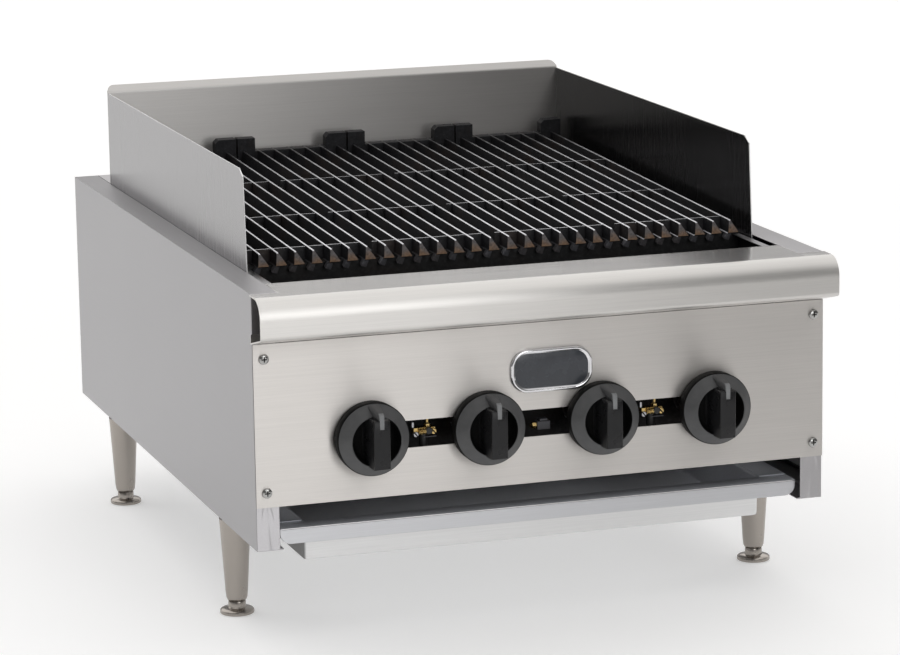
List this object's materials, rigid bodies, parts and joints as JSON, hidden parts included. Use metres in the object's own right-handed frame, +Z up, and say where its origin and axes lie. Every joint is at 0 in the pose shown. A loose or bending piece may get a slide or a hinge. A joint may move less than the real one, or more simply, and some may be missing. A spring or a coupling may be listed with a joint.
{
  "type": "countertop gas charbroiler",
  "caption": "Countertop gas charbroiler: stainless box with a splash guard, cast bar grates over burners, a row of knobs below a bullnose rail, a pull-out drip tray and levelling feet.",
  "frame": {"origin": "on the ground, under the centre of the bounding box", "axes": "+Z up, the front with the knobs faces -Y, +X to the right as seen from the front"},
  "size_m": [0.615, 0.855, 0.4777],
  "materials": {
    "brushed_steel": "satin, grain upright on the side panels",
    "bright_brushed_steel": "brushed along the width, bright",
    "plain_steel": "plain mill finish",
    "heated_steel": "darkened by heat",
    "chrome": "polished",
    "satin_nickel": "satin nickel plate",
    "cast_iron": "rough black casting; the grates' top edges are polished by use",
    "black_plastic": "moulded, semi-matt",
    "brass": "machined",
    "black_pipe": "black gas pipe"
  },
  "bodies": {
    "body": {"side_panel_left": "brushed_steel", "side_panel_right": "brushed_steel", "back_panel": "brushed_steel", "splash_wing_left": "brushed_steel", "splash_wing_right": "brushed_steel", "splash_back": "brushed_steel", "front_rail": "bright_brushed_steel", "control_panel": "bright_brushed_steel", "panel_screw_left_lower": "bright_brushed_steel", "panel_screw_left_upper": "bright_brushed_steel", "panel_screw_right_lower": "bright_brushed_steel", "panel_screw_right_upper": "bright_brushed_steel", "panel_brace": "plain_steel", "tray_rail_left": "plain_steel", "tray_rail_right": "plain_steel", "badge_plate": "chrome", "firebox_left": "heated_steel", "firebox_right": "heated_steel", "firebox_front": "heated_steel", "firebox_back": "heated_steel", "grate_rest_front": "heated_steel", "grate_rest_back": "heated_steel", "radiant_1": "cast_iron", "radiant_2": "cast_iron", "radiant_3": "cast_iron", "radiant_4": "cast_iron", "burner_1": "cast_iron", "burner_2": "cast_iron", "burner_3": "cast_iron", "burner_4": "cast_iron", "gas_valve_1": "brass", "gas_valve_2": "brass", "gas_valve_3": "brass", "gas_valve_4": "brass", "pilot_valve_1": "brass", "pilot_valve_2": "brass", "gas_manifold": "black_pipe", "supply_pipe": "black_pipe", "leg_front_left": "satin_nickel", "leg_front_right": "satin_nickel", "leg_back_left": "satin_nickel", "leg_back_right": "satin_nickel"},
    "knob_1": {"knob_1": "black_plastic", "valve_stem_1": "chrome"},
    "knob_2": {"knob_2": "black_plastic", "valve_stem_2": "chrome"},
    "knob_3": {"knob_3": "black_plastic", "valve_stem_3": "chrome"},
    "knob_4": {"knob_4": "black_plastic", "valve_stem_4": "chrome"},
    "drip_tray": {"drip_tray": "brushed_steel"},
    "grate_1": {"grate_1": "cast_iron"},
    "grate_2": {"grate_2": "cast_iron"},
    "grate_3": {"grate_3": "cast_iron"},
    "grate_4": {"grate_4": "cast_iron"},
    "foot_front_left": {"foot_front_left": "satin_nickel"},
    "foot_front_right": {"foot_front_right": "satin_nickel"},
    "foot_back_left": {"foot_back_left": "satin_nickel"},
    "foot_back_right": {"foot_back_right": "satin_nickel"}
  },
  "joints": [
    {"name": "knob_1_turn", "type": "hinge", "parent": "body", "child": "knob_1", "pos_m": [-0.187, -0.3805, 0.2105], "axis": [0, -1, 0], "range_deg": [0, 90]},
    {"name": "knob_2_turn", "type": "hinge", "parent": "body", "child": "knob_2", "pos_m": [-0.0644, -0.3805, 0.2105], "axis": [0, -1, 0], "range_deg": [0, 90]},
    {"name": "knob_3_turn", "type": "hinge", "parent": "body", "child": "knob_3", "pos_m": [0.0582, -0.3805, 0.2105], "axis": [0, -1, 0], "range_deg": [0, 90]},
    {"name": "knob_4_turn", "type": "hinge", "parent": "body", "child": "knob_4", "pos_m": [0.1808, -0.3805, 0.2105], "axis": [0, -1, 0], "range_deg": [0, 90]},
    {"name": "drip_tray_slide", "type": "slide", "parent": "body", "child": "drip_tray", "axis": [0, -1, 0], "range_m": [0, 0.45]},
    {"name": "grate_1_lift", "type": "slide", "parent": "body", "child": "grate_1", "axis": [0, 0, 1], "range_m": [0, 0.25]},
    {"name": "grate_2_lift", "type": "slide", "parent": "body", "child": "grate_2", "axis": [0, 0, 1], "range_m": [0, 0.25]},
    {"name": "grate_3_lift", "type": "slide", "parent": "body", "child": "grate_3", "axis": [0, 0, 1], "range_m": [0, 0.25]},
    {"name": "grate_4_lift", "type": "slide", "parent": "body", "child": "grate_4", "axis": [0, 0, 1], "range_m": [0, 0.25]},
    {"name": "foot_front_left_level", "type": "slide", "parent": "body", "child": "foot_front_left", "axis": [0, 0, -1], "range_m": [0, 0.025]},
    {"name": "foot_front_right_level", "type": "slide", "parent": "body", "child": "foot_front_right", "axis": [0, 0, -1], "range_m": [0, 0.025]},
    {"name": "foot_back_left_level", "type": "slide", "parent": "body", "child": "foot_back_left", "axis": [0, 0, -1], "range_m": [0, 0.025]},
    {"name": "foot_back_right_level", "type": "slide", "parent": "body", "child": "foot_back_right", "axis": [0, 0, -1], "range_m": [0, 0.025]}
  ]
}
